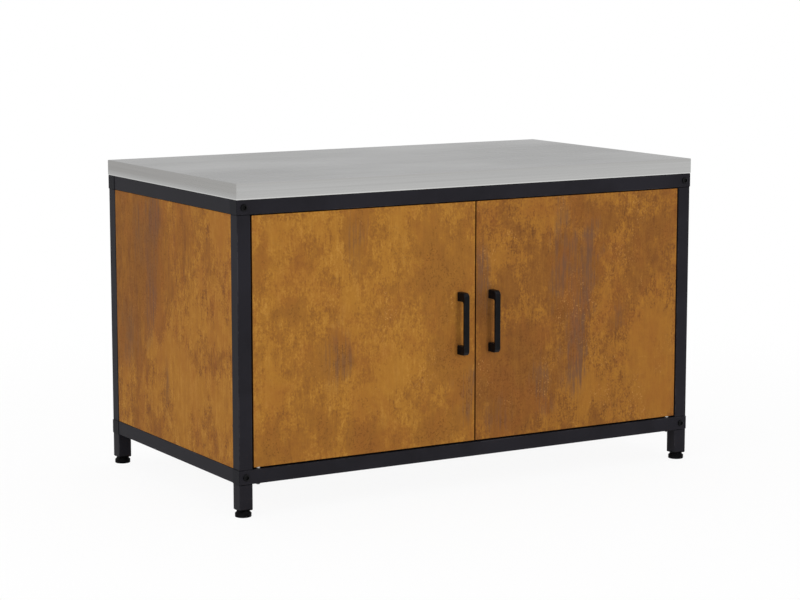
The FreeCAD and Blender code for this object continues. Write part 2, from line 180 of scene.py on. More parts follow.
# Powder coat of the tube frame: fine orange peel, faint drift in tone and gloss, long edges paler in patches,
# partly wear and partly a painted highlight, and a near-black line of painted shade where a tube's eased end
# meets its neighbour
framePaintLook = {
    "dark": (33, 32, 36),
    "light": (38, 37, 42),
    "edgeWearAndPaintedLight": (66, 65, 69),
    "edgeWearAndLightShare": 0.55,
    "jointShade": (8, 8, 9),
    "driftScale": 9,
    "peelScale": 520,
    "dustScale": 1900,
    "scuffScale": 140,
    "peelDepth": 0.03 * mm,
    "gloss": (0.40, 0.50),
    "specular": 0.035,
}


def makeFramePaint(name, look, axis=None):                 # axis is the way the tube runs
    material, w = newMaterial(name)
    place = w.place()
    drift = w.noise(place, look["driftScale"], 4, 0.6)
    peel = w.noise(place, look["peelScale"], 2, 0.4)
    dust = w.noise(place, look["dustScale"], 1)
    scuff = w.noise(place, look["scuffScale"], 4, 0.7)
    edges = w.edges()
    ends = 0.0 if axis is None else w.eased(w.facing(axis), 0.15, 0.4)
    # Paler patches on the long rounded edges: partly wear, partly a painted highlight
    edgeWearAndLightMask = edges * w.eased(drift * 0.5 + scuff * 0.5, 0.46, 0.6, 0.0, look["edgeWearAndLightShare"]) * (1 - ends)
    powder = w.blended(w.eased(drift, *mostNoise), *paints(look["dark"], look["light"]))
    powderWearAndLight = w.blended(edgeWearAndLightMask, powder, paint(*look["edgeWearAndPaintedLight"]))
    # Base colour: eased tube ends near black, painted shade in the joints
    coat(w, {
        "Base Color": w.blended(edges * ends, powderWearAndLight, paint(*look["jointShade"])),
        "Roughness": w.eased(drift * 0.6 + dust * 0.4, *mostNoise, *look["gloss"]) - edgeWearAndLightMask * 0.15,
        "Specular IOR Level": look["specular"],
        "Normal": w.relief(peel * 0.8 + dust * 0.2, look["peelDepth"]),
    })
    return material


# Brushed stainless sheet: long hairlines along each face and a few broader bands; painted shade makes the end
# faces darker above their foot and darkens a band along the top of the upright faces, and a painted highlight
# pales a band along their bottom; the shares below are heights, in shares of its own
worktopLook = {
    "dark": (174, 174, 173),
    "light": (182, 182, 181),
    # Painted shade: the two darker tones below, for the end faces and the upper band; painted highlight: the
    # paler tone of the lower band
    "paintedShadeDark": (161, 160, 158),
    "paintedShadeLight": (168, 167, 165),
    "lowerHighlight": (208, 208, 207),
    "endShadeShares": (0.1, 0.5),
    "upperShadeShare": 0.75,
    "upperShadeStrength": 0.45,
    "lowerHighlightShares": (0.11, 0.05),
    "edgeTint": 0.57,
    "gloss": (0.18, 0.30),
    "hairDepth": 0.008 * mm,
    "along": 1.3,
    "across": (90, 700, 2400),
    "smear": (2.2, 4.0, 4.0),
}


def makeBrushedSteel(name, look, span):
    material, w = newMaterial(name)
    place = w.place()
    endFace = w.eased(w.facing(0), 0.6, 0.8)
    layers = []
    for turns in look["across"]:
        alongX = w.noise(w.stretched(place, (look["along"], turns, turns)), 1.0, 3, 0.6)
        alongY = w.noise(w.stretched(place, (turns, look["along"], turns)), 1.0, 3, 0.6)
        layers.append(alongX + (alongY - alongX) * endFace)
    bands, hairs, scratches = layers
    smear = w.noise(w.stretched(place, look["smear"]), 1.0, 3, 0.55)
    shine = w.eased(0.45 * bands + 0.35 * hairs + 0.2 * scratches, 0.36, 0.64)
    faceTone = w.blended(shine, *paints(look["dark"], look["light"]))
    # End faces take a darker tone: painted shade
    shadedEndTone = w.blended(shine, *paints(look["paintedShadeDark"], look["paintedShadeLight"]))
    height = w.node("ShaderNodeSeparateXYZ", None, {0: place}, 2)
    low, high = (corner[2] for corner in span)

    def levels(*shares):
        return [low + share * (high - low) for share in shares]

    upright = w.eased(w.facing(2), 0.85, 0.6)
    # Painted shade on the end faces, from their foot up to half their height
    endShadeAbove = endFace * w.eased(height, *levels(*look["endShadeShares"]))
    # Painted shade: a darker band along the top of the upright faces
    upperShade = w.eased(height, *levels(look["upperShadeShare"], 1.0), 0.0, look["upperShadeStrength"]) * upright
    # Painted highlight: a paler band along the bottom of the upright faces
    lowerHighlightBand = w.eased(height, *levels(*look["lowerHighlightShares"])) * upright
    sheet = w.blended(upperShade, w.blended(endShadeAbove, faceTone, shadedEndTone), paint(*look["paintedShadeLight"]))
    coat(w, {
        "Base Color": w.blended(lowerHighlightBand, sheet, paint(*look["lowerHighlight"])),
        "Metallic": 1.0,
        "Roughness": w.eased(0.5 * smear + 0.3 * hairs + 0.2 * scratches, 0.35, 0.65, *look["gloss"]),
        "Specular Tint": (look["edgeTint"], look["edgeTint"], look["edgeTint"], 1.0),
        "Normal": w.relief(hairs * 0.6 + scratches * 0.4, look["hairDepth"]),
    })
    return material


# Rust-look decor board: ochre ground with brown stains, violet-grey runs, red oxide drift, pits and flecks
rustLook = {
    "stops": (
        (0.00, (100, 66, 38)),
        (0.25, (128, 83, 41)),
        (0.45, (145, 97, 44)),
        (0.62, (159, 108, 46)),
        (0.80, (169, 117, 48)),
        (1.00, (184, 132, 60)),
    ),
    "violet": (109, 79, 60),
    "ruddy": (134, 83, 50),
    "oxide": (148, 90, 44),
    "pit": (102, 61, 34),
    "fleck": (200, 146, 82),
    "edge": ((56, 32, 17), (76, 45, 24)),
    "cloudScale": 7.0,
    "fleckAreaScale": 11.0,
    "driftScale": 12.0,
    "swayScale": 16.0,
    "pitAreaScale": 18.0,
    "patchScale": 20.0,
    "mottleScale": 58.0,
    "runScale": 105.0,
    "hairScale": 230.0,
    "grainScale": 250.0,
    "threadScale": 280.0,
    "fleckScale": 330.0,
    "sway": (0.10, 0.0, 0.16),
    "spotReach": 1.6,
    "middleTone": 0.56,
    "gloss": (0.48, 0.62),
    "specular": 0.02,
    "reliefDepth": 0.04 * mm,
}

# How far clouds are drawn upwards, and the strength of patches and streaks
doorPattern = {"drawn": 0.72, "patches": 0.5, "streaks": 0.3}
sidePattern = {"drawn": 0.42, "patches": 0.4, "streaks": 0.5}

# Each board: its across, through and up axes, a shift of the pattern, its overall shade and contrast, its
# share of red oxide, then stains and violet runs as (across, up, half width, half height, strength), all but
# the strength in shares of the board
decorBoards = {
    "left_door_panel": {
        "axes": "XYZ", "shift": (0.0, 0.0, 0.0), "shade": 0.1, "contrast": 0.88, "oxide": 0.0,
        **doorPattern,
        "stains": (
            (0.36, 0.42, 0.09, 0.14, -0.32), (0.18, 0.62, 0.07, 0.06, -0.34), (0.05, 0.88, 0.03, 0.12, -0.24),
            (0.78, 0.87, 0.07, 0.08, -0.30), (0.87, 0.73, 0.10, 0.08, -0.34), (0.75, 0.70, 0.06, 0.10, -0.18),
            (0.28, 0.16, 0.06, 0.06, -0.40), (0.49, 0.07, 0.07, 0.06, -0.44), (0.06, 0.04, 0.07, 0.06, -0.40),
            (0.83, 0.05, 0.06, 0.08, -0.40), (0.95, 0.18, 0.05, 0.10, -0.36), (0.45, 0.90, 0.05, 0.14, -0.26),
            (0.88, 0.36, 0.08, 0.08, -0.28), (0.64, 0.60, 0.06, 0.08, -0.18), (0.22, 0.30, 0.05, 0.08, -0.14),
            (0.10, 0.90, 0.08, 0.10, 0.20), (0.40, 0.60, 0.14, 0.14, 0.20), (0.64, 0.35, 0.12, 0.12, 0.20),
            (0.08, 0.28, 0.07, 0.10, 0.20), (0.62, 0.90, 0.06, 0.10, 0.12), (0.40, 0.25, 0.12, 0.08, 0.10),
        ),
        "runs": ((0.38, 0.40, 0.07, 0.14, 0.6), (0.45, 0.90, 0.04, 0.14, 0.4), (0.96, 0.18, 0.05, 0.12, 0.7)),
    },
    "right_door_panel": {
        "axes": "XYZ", "shift": (3.1, 0.0, 1.7), "shade": -0.1, "contrast": 0.92, "oxide": 0.05,
        **doorPattern,
        "stains": (
            (0.28, 0.62, 0.15, 0.24, -0.20), (0.20, 0.22, 0.16, 0.16, -0.34), (0.82, 0.75, 0.09, 0.13, -0.24),
            (0.04, 0.55, 0.05, 0.20, -0.30), (0.62, 0.90, 0.06, 0.07, -0.24), (0.70, 0.47, 0.05, 0.06, -0.30),
            (0.62, 0.05, 0.03, 0.10, -0.20), (0.48, 0.62, 0.09, 0.36, -0.18), (0.94, 0.80, 0.05, 0.10, -0.14),
            (0.10, 0.78, 0.06, 0.08, 0.28), (0.53, 0.18, 0.08, 0.10, 0.40), (0.88, 0.20, 0.13, 0.17, 0.34),
            (0.90, 0.45, 0.08, 0.10, 0.28), (0.64, 0.50, 0.07, 0.08, 0.18), (0.35, 0.88, 0.08, 0.07, 0.12),
            (0.76, 0.36, 0.06, 0.10, 0.18), (0.36, 0.10, 0.08, 0.08, 0.14),
        ),
        "runs": (
            (0.42, 0.75, 0.05, 0.22, 0.9), (0.52, 0.52, 0.05, 0.26, 0.9), (0.57, 0.76, 0.04, 0.14, 0.9),
            (0.03, 0.68, 0.04, 0.14, 0.8), (0.48, 0.32, 0.06, 0.14, 0.8), (0.32, 0.20, 0.06, 0.12, 0.7),
            (0.70, 0.47, 0.03, 0.06, 0.6), (0.12, 0.10, 0.07, 0.10, 0.5),
        ),
    },
    "left_side_panel": {
        "axes": "YXZ", "shift": (1.3, 0.0, 4.2), "shade": 0.05, "contrast": 1.3, "oxide": 0.14,
        **sidePattern,
        "stains": (
            (0.86, 0.70, 0.22, 0.40, -0.44), (0.38, 0.90, 0.06, 0.10, -0.26), (0.20, 0.83, 0.05, 0.10, -0.26),
            (0.50, 0.65, 0.03, 0.06, -0.24), (0.09, 0.42, 0.07, 0.05, -0.22), (0.29, 0.34, 0.05, 0.05, -0.16),
            (0.17, 0.16, 0.04, 0.06, -0.26), (0.88, 0.50, 0.05, 0.04, -0.20), (0.65, 0.03, 0.05, 0.05, -0.22),
            (0.57, 0.22, 0.03, 0.10, -0.16), (0.62, 0.80, 0.12, 0.26, -0.22),
            (0.08, 0.93, 0.10, 0.08, 0.30), (0.62, 0.38, 0.10, 0.06, 0.28), (0.20, 0.51, 0.18, 0.06, 0.24),
            (0.35, 0.28, 0.14, 0.08, 0.22), (0.44, 0.20, 0.24, 0.16, 0.26), (0.92, 0.20, 0.06, 0.08, 0.20),
            (0.08, 0.22, 0.08, 0.08, 0.20), (0.25, 0.66, 0.10, 0.08, 0.10),
        ),
        "runs": (
            (0.67, 0.82, 0.05, 0.22, 0.9), (0.62, 0.93, 0.04, 0.10, 0.8), (0.68, 0.52, 0.05, 0.12, 0.8),
            (0.78, 0.84, 0.07, 0.20, 0.5), (0.90, 0.40, 0.12, 0.14, 0.6), (0.56, 0.22, 0.03, 0.12, 0.6),
        ),
    },
    "right_side_panel": {
        "axes": "YXZ", "shift": (7.7, 0.0, 2.9), "shade": 0.0, "contrast": 1.2, "oxide": 0.1,
        **sidePattern,
        "stains": ((0.3, 0.6, 0.2, 0.4, -0.26), (0.75, 0.3, 0.2, 0.3, -0.24), (0.6, 0.8, 0.25, 0.2, 0.22)),
        "runs": ((0.42, 0.7, 0.06, 0.25, 0.9), (0.8, 0.4, 0.06, 0.2, 0.7)),
    },
    "back_panel": {
        "axes": "XYZ", "shift": (5.2, 0.0, 8.4), "shade": 0.0, "contrast": 1.1, "oxide": 0.05,
        **doorPattern,
        "stains": ((0.2, 0.5, 0.12, 0.4, -0.26), (0.55, 0.7, 0.1, 0.3, -0.26),
                   (0.8, 0.3, 0.14, 0.3, -0.24), (0.4, 0.25, 0.14, 0.2, 0.22)),
        "runs": ((0.24, 0.6, 0.03, 0.3, 0.9), (0.6, 0.5, 0.04, 0.3, 0.8), (0.85, 0.7, 0.03, 0.2, 0.7)),
    },
    "bottom_panel": {
        "axes": "YZX", "shift": (2.6, 0.0, 6.1), "shade": 0.02, "contrast": 1.1, "oxide": 0.05,
        **doorPattern,
        "stains": ((0.4, 0.3, 0.3, 0.14, -0.26), (0.7, 0.7, 0.3, 0.12, -0.24)),
        "runs": ((0.5, 0.4, 0.06, 0.14, 0.8), (0.3, 0.75, 0.06, 0.1, 0.7)),
    },
    "shelf": {
        "axes": "YZX", "shift": (9.4, 0.0, 0.8), "shade": 0.02, "contrast": 1.1, "oxide": 0.05,
        **doorPattern,
        "stains": ((0.5, 0.2, 0.3, 0.12, -0.26), (0.4, 0.65, 0.3, 0.16, -0.24)),
        "runs": ((0.4, 0.3, 0.06, 0.12, 0.8), (0.65, 0.6, 0.06, 0.14, 0.7)),
    },
}


def gatherSpots(w, place, low, size, spots, grow):         # soft ellipses added up, 0 beyond their reach
    total = 0.0
    allThrough = 4.0
    for across, up, halfWidth, halfHeight, strength in spots:
        centre = (low[0] + across * size[0], 0.0, low[2] + up * size[2])
        reach = (halfWidth * size[0] * grow, allThrough, halfHeight * size[2] * grow)
        spot = w.node("ShaderNodeTexGradient", {"gradient_type": "SPHERICAL"}, {
            0: w.node("ShaderNodeMapping", {"vector_type": "TEXTURE"}, {
                "Vector": place, "Location": centre, "Scale": reach})}, 1)
        total = spot * strength + total
    return total


def makeRustDecor(name, look, board, low, high):
    material, w = newMaterial(name)
    order = ["XYZ".index(axis) for axis in board["axes"]]
    low = np.array(low)[order]
    size = np.array(high)[order] - low
    split = [w.node("ShaderNodeSeparateXYZ", None, {0: w.place()}, axis) for axis in order]
    flat = w.node("ShaderNodeCombineXYZ", None, {0: split[0], 1: split[1], 2: split[2]})
    spread = w.shifted(flat, board["shift"])               # no two boards show the same part
    drawn = w.stretched(spread, (1, 1, board["drawn"]))    # clouds are taller than wide
    cloud = w.noise(drawn, look["cloudScale"], 4, 0.6, 0.6)
    patch = w.noise(w.shifted(drawn, (4, 9, 2)), look["patchScale"], 4, 0.65, 0.5)
    drift = w.noise(w.shifted(drawn, (1, 6, 3)), look["driftScale"], 4, 0.65, 0.4)
    mottle = w.noise(w.stretched(spread, (1, 1, 0.7), (3, 1, 8)), look["mottleScale"], 4, 0.7)
    runs = w.noise(w.stretched(spread, (1, 1, 0.07)), look["runScale"], 4, 0.65)
    threads = w.noise(w.stretched(spread, (1, 1, 0.04), (5, 2, 6)), look["threadScale"], 3, 0.6)
    hair = w.noise(w.stretched(spread, (1, 1, 0.16)), look["hairScale"], 2, 0.5)
    grain = w.noise(w.stretched(spread, (1, 1, 0.8)), look["grainScale"], 3, 0.7)

    # Stains and runs: their outlines wander with the clouds
    wander = w.node("ShaderNodeTexNoise", None, {
        "Vector": drawn, "Scale": look["swayScale"], "Detail": 5.0, "Roughness": 0.65}, 1)
    pulled = w.node("ShaderNodeVectorMath", {"operation": "MULTIPLY_ADD"}, {
        0: wander, 1: look["sway"], 2: flat})
    halfSway = [reach / 2 for reach in look["sway"]]
    settled = w.node("ShaderNodeVectorMath", {"operation": "SUBTRACT"}, {0: pulled, 1: halfSway})
    stained = gatherSpots(w, settled, low, size, board["stains"], look["spotReach"])
    veiled = gatherSpots(w, settled, low, size, board["runs"], look["spotReach"])

    # Ground tone: stains with torn edges, and grain that is strongest along their outlines
    body = (cloud - 0.5) * 0.34 + (patch - 0.5) * board["patches"] + stained * 0.68
    torn = w.eased(body + (mottle - 0.5) * 0.4 + (grain - 0.5) * 0.5, -0.04, 0.04) - 0.5
    outline = w.eased(body, -0.14, -0.02) * w.eased(body, 0.14, 0.02)
    fine = (mottle - 0.5) * 0.4 + (hair - 0.5) * 0.4 + (grain - 0.5) * 0.8
    tone = body * 0.44 + torn * 0.16 + (mottle - 0.5) * 0.25 + (runs - 0.5) * board["streaks"]
    tone = tone + fine * (outline * 0.9 + 0.55)
    tone = tone * board["contrast"] + (look["middleTone"] + board["shade"])
    ground = w.ramp(tone, [(at, paint(*shade)) for at, shade in look["stops"]])

    # Red oxide, then dusky runs, pale flecks and dark pits over it
    oxide = w.eased(drift, 0.42, 0.68, board["oxide"], board["oxide"] + 0.34)
    rusted = w.blended(oxide, ground, paint(*look["oxide"]))
    veil = w.eased(threads * 0.4 + runs * 0.25 + patch * 0.2 + mottle * 0.15 + veiled * 0.14, 0.49, 0.66)
    runTint = w.eased(hair * 0.5 + drift * 0.5, 0.46, 0.66, 0.0, 0.7)
    run = w.blended(runTint, *paints(look["violet"], look["ruddy"]))
    dusky = w.blended(veil * w.eased(veiled, 0.0, 0.5, 0.1, 0.85), rusted, run)
    fleckArea = w.noise(w.shifted(drawn, (9, 2, 4)), look["fleckAreaScale"], 4, 0.65)
    fleck = w.noise(w.stretched(spread, (1, 1, 0.8), (2, 7, 9)), look["fleckScale"], 2)
    flecks = w.eased(fleck, 0.6, 0.7) * w.eased(fleckArea, 0.52, 0.66) * 0.6
    speckled = w.blended(flecks, dusky, paint(*look["fleck"]))
    pitArea = w.noise(w.shifted(drawn, (7, 3, 5)), look["pitAreaScale"], 4, 0.65)
    pits = w.eased(grain, 0.5, 0.62) * (w.eased(pitArea - stained * 0.5, 0.5, 0.66) * 0.5 + 0.06)
    pitted = w.blended(pits, speckled, paint(*look["pit"]))

    # Darker band round the board's edge
    banded = w.eased(w.facing(order[1]), 0.55, 0.3, 0.0, 0.95)
    band = w.blended(w.eased(hair * 0.6 + grain * 0.4, 0.36, 0.62), *paints(*look["edge"]))
    coat(w, {
        "Base Color": w.blended(banded, pitted, band),
        "Roughness": w.eased(grain * 0.5 + runs * 0.5, 0.35, 0.65, *look["gloss"]),
        "Specular IOR Level": look["specular"],
        "Normal": w.relief(grain * 0.6 + hair * 0.4, look["reliefDepth"]),
    })
    return material


# Moulded black plastic of the feet and catch: spark-eroded grain
plasticLook = {
    "dark": (9, 9, 10),
    "light": (14, 14, 15),
    "edgeWearAndPaintedLight": (22, 22, 23),
    "grainScale": 1100,
    "grainDepth": 0.03 * mm,
    "gloss": (0.40, 0.54),
    "specular": 0.02,
}

# The same plastic dyed to the frame's tone, on the caps that close the rail ends: their rims are darker,
# painted shade at the step round each cap
capLook = {
    "dark": (28, 28, 31),
    "light": (33, 33, 37),
    "edgeWearAndPaintedLight": (8, 8, 9),
    "grainScale": 1100,
    "grainDepth": 0.03 * mm,
    "gloss": (0.42, 0.54),
    "specular": 0.03,
}

# Satin coating on the cast handles, with paler patches on the rounded edges that are a painted highlight
handleLook = {
    "dark": (9, 10, 11),
    "light": (14, 14, 17),
    "edgeWearAndPaintedLight": (34, 34, 37),
    "grainScale": 900,
    "grainDepth": 0.012 * mm,
    "gloss": (0.34, 0.44),
    "specular": 0.08,
}

# Black oxide on the frame bolts, with a paler rim on the rounded edges that is a painted highlight
boltLook = {
    "dark": (6, 6, 7),
    "light": (11, 11, 12),
    "edgeWearAndPaintedLight": (28, 28, 30),
    "grainScale": 1500,
    "grainDepth": 0.01 * mm,
    "gloss": (0.32, 0.44),
    "specular": 0.08,
}

# Sintered magnets in the catch
ferriteLook = {
    "dark": (50, 48, 47),
    "light": (68, 66, 64),
    "edgeWearAndPaintedLight": (84, 82, 80),
    "grainScale": 1700,
    "grainDepth": 0.03 * mm,
    "gloss": (0.5, 0.64),
    "specular": 0.4,
}

# Natural nylon of the pivot bushes
nylonLook = {
    "dark": (236, 235, 231),
    "light": (248, 248, 245),
    "edgeWearAndPaintedLight": (228, 226, 219),
    "grainScale": 800,
    "grainDepth": 0.015 * mm,
    "gloss": (0.36, 0.48),
    "specular": 0.45,
}


def makeGrained(name, look):
    material, w = newMaterial(name)
    place = w.place()
    cloudScale = 60
    cloud = w.noise(place, cloudScale, 4, 0.6)
    grain = w.noise(place, look["grainScale"], 2, 0.5)
    # Rounded edges, in patches, take the edge tone: wear on the feet, catch, magnets and bushes, a painted
    # highlight on handles and bolts, painted shade on the caps
    edgeWearAndLightMask = w.edges() * w.eased(cloud, 0.4, 0.62, 0.1, 0.7)
    tone = w.eased(cloud * 0.7 + grain * 0.3, 0.32, 0.68)
    ground = w.blended(tone, *paints(look["dark"], look["light"]))
    coat(w, {
        "Base Color": w.blended(edgeWearAndLightMask, ground, paint(*look["edgeWearAndPaintedLight"])),
        "Roughness": w.eased(grain * 0.5 + cloud * 0.5, *mostNoise, *look["gloss"]) - edgeWearAndLightMask * 0.1,
        "Specular IOR Level": look["specular"],
        "Normal": w.relief(grain, look["grainDepth"]),
    })
    return material


# Bright zinc plate on shelf pins, screws, strikes and studs: cloudy passivation over a fine draw grain
zincLook = {
    "dark": (166, 169, 172),
    "light": (198, 201, 203),
    "warm": (190, 186, 168),
    "cloudScale": 130,
    "tintScale": 70,
    "grainScale": 2200,
    "gloss": (0.24, 0.40),
    "grainDepth": 0.01 * mm,
}

# The same plate under dark grease, on the pivot pins
greasedLook = {
    **zincLook,
    "dark": (38, 37, 36),
    "light": (54, 52, 50),
    "warm": (60, 54, 44),
    "gloss": (0.42, 0.56),
}


def makeZinc(name, look):
    material, w = newMaterial(name)
    place = w.place()
    cloud = w.noise(place, look["cloudScale"], 4, 0.65, 0.6)
    grain = w.noise(place, look["grainScale"], 2, 0.5)
    tint = w.eased(w.noise(w.shifted(place, (2, 5, 1)), look["tintScale"], 3), 0.55, 0.75) * 0.35
    plate = w.blended(w.eased(cloud, 0.35, 0.65), *paints(look["dark"], look["light"]))
    coat(w, {
        "Base Color": w.blended(tint, plate, paint(*look["warm"])),
        "Metallic": 1.0,
        "Roughness": w.eased(cloud * 0.6 + grain * 0.4, *mostNoise, *look["gloss"]),
        "Normal": w.relief(grain, look["grainDepth"]),
    })
    return material


# Raw board under the steel sheet: pressed chips of pale and darker wood
chipLook = {
    "stops": (
        (0.0, (126, 96, 62)),
        (0.45, (172, 140, 98)),
        (0.7, (190, 160, 118)),
        (1.0, (206, 180, 140)),
    ),
    "chipScale": 150.0,
    "sliverScale": 320.0,
    "driftScale": 40.0,
    "drift": (0.02, 0.02, 0.02),
    "chipDepth": 0.25 * mm,
    "gloss": (0.7, 0.85),
    "specular": 0.2,
}


def makeChipboard(name, look):
    material, w = newMaterial(name)
    place = w.place()
    drift = w.node("ShaderNodeTexNoise", None, {
        "Vector": place, "Scale": look["driftScale"], "Detail": 3.0}, 1)
    swayed = w.node("ShaderNodeVectorMath", {"operation": "MULTIPLY_ADD"}, {
        0: drift, 1: look["drift"], 2: place})
    chips = w.node("ShaderNodeTexVoronoi", None, {
        "Vector": w.stretched(swayed, (1, 0.45, 1)), "Scale": look["chipScale"]}, 1)
    slivers = w.node("ShaderNodeTexVoronoi", None, {
        "Vector": w.stretched(swayed, (0.4, 1, 1)), "Scale": look["sliverScale"]}, 1)
    chipTone = w.node("ShaderNodeSeparateColor", None, {0: chips})
    sliverTone = w.node("ShaderNodeSeparateColor", None, {0: slivers})
    tone = chipTone * 0.55 + sliverTone * 0.45
    coat(w, {
        "Base Color": w.ramp(tone, [(at, paint(*shade)) for at, shade in look["stops"]]),
        "Roughness": w.eased(tone, 0.2, 0.8, *look["gloss"]),
        "Specular IOR Level": look["specular"],
        "Normal": w.relief(tone, look["chipDepth"]),
    })
    return material


finishes = {
    "frame_paint": makeFramePaint("framePaint", framePaintLook),
    "worktop_steel": makeBrushedSteel("brushedSteel", worktopLook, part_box("worktop_skin")),
    "black_plastic": makeGrained("blackPlastic", plasticLook),
    "handle_black": makeGrained("handleBlack", handleLook),
    "black_bolts": makeGrained("boltBlack", boltLook),
    "ferrite": makeGrained("ferrite", ferriteLook),
    "white_nylon": makeGrained("nylon", nylonLook),
    "zinc_steel": makeZinc("zincPlate", zincLook),
    "raw_board": makeChipboard("chipboard", chipLook),
}
capFinish = makeGrained("capPlastic", capLook)
pinFinish = makeZinc("greasedZinc", greasedLook)
tubeFinishes = [makeFramePaint("framePaint" + axis, framePaintLook, index)
                for index, axis in enumerate("XYZ")]        # one for each way that a tube runs
for name, piece in nodes.items():
    slot = piece.material_slots[0]
    low, high = np.array(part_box(name))
    if name in decorBoards:
        slot.material = makeRustDecor(name + "Decor", rustLook, decorBoards[name], low, high)
    elif name == "rail_end_caps":
        slot.material = capFinish
    elif name.endswith("_pivot_pins"):
        slot.material = pinFinish
    elif name.endswith(("_rail", "_post", "_leg")):
        slot.material = tubeFinishes[np.argmax(high - low)]
    else:
        slot.material = finishes[slot.material.name.split(".")[0]]
print("finishes laid on", len(nodes), "nodes")


# Every new piece is made of rows of closed rings, wrapped round and capped at both ends
def addRings(rings, vertices, faces):
    rows, columns = rings.shape[:2]
    index = np.arange(rows * columns).reshape(rows, columns) + len(vertices)
    beside = np.roll(index, -1, axis=1)
    sides = np.stack([index[:-1], beside[:-1], beside[1:], index[1:]], axis=-1).reshape(-1, 4)
    vertices.extend(rings.reshape(-1, 3).tolist())
    faces.extend(sides.tolist() + [index[0, ::-1].tolist(), index[-1].tolist()])


def makePiece(name, vertices, faces, slotName, body, crease):
    mesh = bpy.data.meshes.new(name)
    mesh.from_pydata(vertices, [], faces)
    mesh.shade_smooth()
    mesh.set_sharp_from_angle(angle=math.radians(crease))
    mesh.materials.append(finishes[slotName])
    piece = bpy.data.objects.new(name, mesh)
    bpy.context.scene.collection.objects.link(piece)
    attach(piece, body)
    return piece


# Threaded studs of the feet: the radius falls from crest to root with the distance from a helix up the stud
studShape = {
    "pitch": 1.5 * mm,
    "depth": 0.92 * mm,
    "crestShare": 0.16,
    "rootShare": 0.2,
    "lead": 1.8 * mm,
    "rowsPerTurn": 10,
    "columns": 40,
    "crease": 50,
}


def makeStud(corner, shape):
    node = corner + "_foot_stud"
    low, high = np.array(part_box(node))
    middle = (low + high) / 2
    crest = (high[0] - low[0]) / 2
    rows = int((high[2] - low[2]) / shape["pitch"] * shape["rowsPerTurn"])
    height = np.linspace(low[2], high[2], rows)[:, None]
    angle = np.linspace(0.0, 2 * math.pi, shape["columns"], endpoint=False)[None, :]
    turn = (height - low[2]) / shape["pitch"] - angle / (2 * math.pi)
    away = np.abs(turn - np.round(turn)) * 2               # 0 on the helix, 1 half-way between turns
    cut = np.clip((away - shape["crestShare"]) / (1 - shape["crestShare"] - shape["rootShare"]), 0, 1)
    toEnd = np.minimum(height - low[2], high[2] - height) / shape["lead"]
    radius = crest - shape["depth"] * np.maximum(cut, 1 - toEnd)   # both ends run down to the root
    rings = np.stack([middle[0] + radius * np.cos(angle), middle[1] + radius * np.sin(angle),
                      height + 0 * angle], axis=-1)
    vertices, faces = [], []
    addRings(rings, vertices, faces)
    stud = makePiece(corner + "_threaded_stud", vertices, faces, "zinc_steel", corner + "_foot",
                     shape["crease"])
    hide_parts(node)


for corner in ("front_left", "front_right", "back_left", "back_right"):
    makeStud(corner, studShape)
print("studs threaded")


# Weld beads at the roots of the tabs: a corner fillet between a straight chord and a round, drawn along the
# root, shrinking and swelling in a crescent for each pass and rounded off at both ends
weldShape = {
    "leg": 3.0 * mm,
    "roundness": 0.55,
    "passLength": 1.7 * mm,
    "ripple": 0.12,
    "crescent": 0.5,
    "taper": 3.0 * mm,
    "endShare": 0.25,
    "sink": 0.1 * mm,
    "stations": 72,
    "arcPoints": 9,
    "crease": 60,
}
weldedTabs = {                                             # tabs in each node, and the side of their beads
    "side_panel_tabs": (8, -1),
    "back_panel_tabs": (8, -1),
    "bottom_panel_tabs": (8, 1),
    "worktop_tabs": (8, -1),
}


def weldRings(low, high, middle, side, shape):
    size = high - low
    thin, out, along = np.argsort(size)
    towards = np.sign((low + high) / 2 - middle)
    outward, normal = np.eye(3)[out] * -towards[out], np.eye(3)[thin] * towards[thin] * side
    root = (low + high) / 2 - outward * size[out] / 2 + normal * size[thin] / 2
    share = np.linspace(0.0, 1.0, shape["arcPoints"])
    chord = np.stack([1 - share, share], axis=-1)
    arc = np.stack([np.cos(share * math.pi / 2), np.sin(share * math.pi / 2)], axis=-1)
    fillet = shape["leg"] * (chord + (arc - chord) * shape["roundness"])
    step = np.linspace(-size[along] / 2, size[along] / 2, shape["stations"])[:, None]
    inside = np.clip((size[along] / 2 - np.abs(step)) / shape["taper"], 0, 1)
    rounded = shape["endShare"] + (1 - shape["endShare"]) * np.sqrt(inside * (2 - inside))
    passed = step / shape["passLength"] + shape["crescent"] * (2 * share - 1)[None, :] ** 2
    swell = rounded * (1 - shape["ripple"] * (passed - np.floor(passed)) ** 2)
    spread = np.concatenate([np.zeros((len(step), 1, 2)), swell[..., None] * fillet], axis=1) - shape["sink"]
    lengthwise = np.cross(outward, normal)
    return root + step[..., None] * lengthwise + spread[..., :1] * outward + spread[..., 1:] * normal


def makeWelds(shape):
    middle = np.mean(np.array(cadBounds), axis=0)
    vertices, faces = [], []
    for node, (count, side) in weldedTabs.items():
        mesh = nodes[node].data
        points = np.zeros(len(mesh.vertices) * 3)
        mesh.vertices.foreach_get("co", points)
        tabs = points.reshape(count, -1, 3)                # a node's tabs are alike, one after another
        for low, high in zip(tabs.min(axis=1), tabs.max(axis=1)):
            addRings(weldRings(low, high, middle, side, shape), vertices, faces)
    makePiece("tab_welds", vertices, faces, "frame_paint", "carcass", shape["crease"])


makeWelds(weldShape)
print("tabs welded")


# Camera at the photograph's place: turned round from straight ahead, tilted down, long lens
cameraSetup = {
    "place": (-2.6718, -4.4872, 1.1435),
    "turn": 30.695,
    "tilt": 8.455,
    "lens": 106.24,
    "sensor": 36.0,
    "farthest": 200.0,
}


